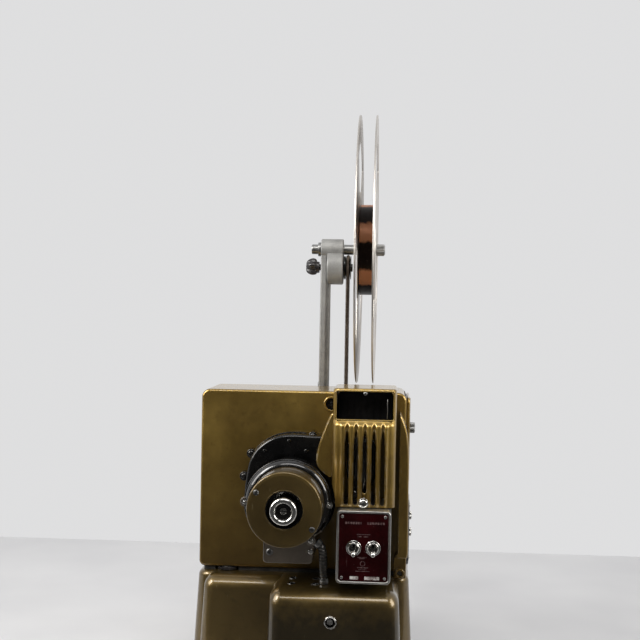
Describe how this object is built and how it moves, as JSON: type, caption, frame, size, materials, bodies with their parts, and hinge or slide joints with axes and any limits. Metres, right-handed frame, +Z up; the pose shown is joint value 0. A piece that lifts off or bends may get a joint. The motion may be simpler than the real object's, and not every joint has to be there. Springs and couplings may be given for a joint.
{
  "type": "film projector",
  "caption": "Sound film projector: die-cast head with louvred lamphouse, motor and lens on an amplifier base, with a feed arm and reel above and a take-up arm in front.",
  "frame": {"origin": "bottom centre of the box round the whole projector, on the table", "axes": "+Z up; +Y the way the lens throws the picture, so the lamphouse, motor and switches face -Y; +X towards the operator and the film path"},
  "size_m": [0.2394, 0.4232, 0.6195],
  "materials": {
    "gold_paint": "glossy metallic bronze-gold hammer-free enamel",
    "grey_casting": "as-cast grey, slightly matt",
    "black_enamel": "glossy black enamel",
    "bakelite": "polished black bakelite",
    "rubber": "matt",
    "sheet_steel": "dull",
    "bright_steel": "machined",
    "chrome_plate": "polished",
    "aluminium": "satin",
    "maroon_label": "gloss enamel with pale marks",
    "film_stock": "glossy edges of wound film",
    "clear_glass": "clear",
    "corrugated_conduit": "dark corrugated steel",
    "spring_belt": "oiled dark wire coil"
  },
  "bodies": {
    "chassis": {"base_casting": "gold_paint", "base_plate": "sheet_steel", "foot_rear_left": "rubber", "foot_rear_right": "rubber", "foot_front_left": "rubber", "foot_front_right": "rubber", "amplifier": "sheet_steel", "mains_inlet": "bakelite", "head_hold_down": "gold_paint", "mechanism_cover": "gold_paint", "main_frame": "gold_paint", "film_chamber": "gold_paint", "control_panel": "bakelite", "film_gate": "bright_steel", "blower_housing": "black_enamel", "motor_body": "black_enamel", "motor_end_cap": "gold_paint", "motor_bracket": "gold_paint", "motor_conduit": "corrugated_conduit", "blower_duct": "gold_paint", "lamphouse_side": "gold_paint", "projection_lamp": "clear_glass", "lamp_socket": "bakelite", "condenser_lens": "clear_glass", "switch_box": "aluminium", "switch_plate": "maroon_label", "motor_switch_body": "chrome_plate", "lamp_switch_body": "chrome_plate", "arm_mount": "grey_casting"},
    "lamphouse": {"lamphouse_cover": "gold_paint", "lamphouse_baffle": "black_enamel", "lamphouse_screw": "chrome_plate"},
    "feed_arm": {"feed_arm": "grey_casting", "feed_belt": "spring_belt"},
    "feed_spindle": {"feed_spindle": "bright_steel", "feed_reel": "aluminium", "film_roll": "film_stock"},
    "rewind_shaft": {"rewind_shaft": "black_enamel", "rewind_knob": "bakelite"},
    "feed_drive_pulley": {"feed_drive_pulley": "black_enamel"},
    "take_up_arm": {"take_up_arm": "grey_casting", "take_up_belt": "spring_belt"},
    "take_up_spindle": {"take_up_spindle": "bright_steel"},
    "take_up_drive_pulley": {"take_up_drive_pulley": "black_enamel"},
    "motor_shaft": {"motor_shaft": "bright_steel", "blower_impeller": "aluminium", "inching_knob": "chrome_plate"},
    "shutter": {"shutter": "black_enamel"},
    "feed_sprocket": {"feed_sprocket": "bright_steel"},
    "take_up_sprocket": {"take_up_sprocket": "bright_steel"},
    "sound_drum": {"sound_drum": "bright_steel"},
    "motor_switch_lever": {"motor_switch_lever": "chrome_plate"},
    "lamp_switch_lever": {"lamp_switch_lever": "chrome_plate"},
    "film_door": {"film_door": "gold_paint"},
    "door_latch_knob": {"door_latch_knob": "bright_steel"},
    "volume_knob": {"volume_knob": "chrome_plate"},
    "tone_knob": {"tone_knob": "chrome_plate"},
    "lens": {"lens_barrel": "aluminium", "lens_front_glass": "clear_glass"},
    "levelling_wheel": {"levelling_wheel": "bakelite"}
  },
  "joints": [
    {"name": "feed_arm_tilt", "type": "hinge", "parent": "chassis", "child": "feed_arm", "pos_m": [0.01483, -0.00003, 0.296], "axis": [-1, 0, 0], "range_deg": [0, 35]},
    {"name": "feed_spindle_spin", "type": "hinge", "parent": "feed_arm", "child": "feed_spindle", "pos_m": [0.05183, -0.00003, 0.467], "axis": [1, 0, 0], "continuous": true},
    {"name": "rewind_shaft_spin", "type": "hinge", "parent": "feed_arm", "child": "rewind_shaft", "pos_m": [0.03184, -0.00003, 0.4464], "axis": [1, 0, 0], "continuous": true},
    {"name": "feed_drive_spin", "type": "hinge", "parent": "feed_arm", "child": "feed_drive_pulley", "pos_m": [0.03184, -0.00003, 0.296], "axis": [1, 0, 0], "continuous": true},
    {"name": "take_up_arm_lift", "type": "hinge", "parent": "chassis", "child": "take_up_arm", "pos_m": [0.01483, -0.00003, 0.15], "axis": [1, 0, 0], "range_deg": [0, 30]},
    {"name": "take_up_spindle_spin", "type": "hinge", "parent": "take_up_arm", "child": "take_up_spindle", "pos_m": [0.05183, 0.19697, 0.165], "axis": [1, 0, 0], "continuous": true},
    {"name": "take_up_drive_spin", "type": "hinge", "parent": "take_up_arm", "child": "take_up_drive_pulley", "pos_m": [0.03184, -0.00003, 0.15], "axis": [1, 0, 0], "continuous": true},
    {"name": "motor_spin", "type": "hinge", "parent": "chassis", "child": "motor_shaft", "pos_m": [-0.00996, -0.14003, 0.2026], "axis": [0, 1, 0], "continuous": true},
    {"name": "shutter_spin", "type": "hinge", "parent": "chassis", "child": "shutter", "pos_m": [0.02584, -0.09003, 0.238], "axis": [0, 1, 0], "continuous": true},
    {"name": "feed_sprocket_spin", "type": "hinge", "parent": "chassis", "child": "feed_sprocket", "pos_m": [0.05183, -0.05003, 0.271], "axis": [1, 0, 0], "continuous": true},
    {"name": "take_up_sprocket_spin", "type": "hinge", "parent": "chassis", "child": "take_up_sprocket", "pos_m": [0.05183, -0.05003, 0.205], "axis": [1, 0, 0], "continuous": true},
    {"name": "sound_drum_spin", "type": "hinge", "parent": "chassis", "child": "sound_drum", "pos_m": [0.05183, -0.07403, 0.197], "axis": [1, 0, 0], "continuous": true},
    {"name": "motor_switch_tilt", "type": "hinge", "parent": "chassis", "child": "motor_switch_lever", "pos_m": [0.05774, -0.17703, 0.1634], "axis": [-1, 0, 0], "range_deg": [0, 32]},
    {"name": "lamp_switch_tilt", "type": "hinge", "parent": "chassis", "child": "lamp_switch_lever", "pos_m": [0.07694, -0.17703, 0.1634], "axis": [-1, 0, 0], "range_deg": [0, 32]},
    {"name": "film_door_swing", "type": "hinge", "parent": "chassis", "child": "film_door", "pos_m": [0.11174, -0.01753, 0.25], "axis": [0, 0, 1], "range_deg": [0, 110]},
    {"name": "door_latch_turn", "type": "hinge", "parent": "film_door", "child": "door_latch_knob", "pos_m": [0.11184, -0.08603, 0.2737], "axis": [1, 0, 0], "range_deg": [0, 90]},
    {"name": "volume_turn", "type": "hinge", "parent": "chassis", "child": "volume_knob", "pos_m": [0.11184, -0.05503, 0.1742], "axis": [1, 0, 0], "range_deg": [0, 270]},
    {"name": "tone_turn", "type": "hinge", "parent": "chassis", "child": "tone_knob", "pos_m": [0.11184, -0.05503, 0.1562], "axis": [1, 0, 0], "range_deg": [0, 270]},
    {"name": "lens_focus", "type": "slide", "parent": "chassis", "child": "lens", "axis": [0, 1, 0], "range_m": [-0.003, 0.01]},
    {"name": "lamphouse_slide", "type": "slide", "parent": "chassis", "child": "lamphouse", "axis": [0, -1, 0], "range_m": [0, 0.07]},
    {"name": "levelling_turn", "type": "hinge", "parent": "chassis", "child": "levelling_wheel", "pos_m": [-0.07966, -0.09203, 0.12], "axis": [0, 0, 1], "continuous": true}
  ],
  "couplings": [
    {"joint": "rewind_shaft_spin", "follows": "feed_spindle_spin", "ratio": -0.71429},
    {"joint": "feed_drive_spin", "follows": "feed_spindle_spin", "ratio": -0.71429},
    {"joint": "take_up_drive_spin", "follows": "take_up_spindle_spin", "ratio": 1},
    {"joint": "shutter_spin", "follows": "motor_spin", "ratio": -1},
    {"joint": "feed_sprocket_spin", "follows": "motor_spin", "ratio": 0.125},
    {"joint": "take_up_sprocket_spin", "follows": "motor_spin", "ratio": 0.125}
  ]
}
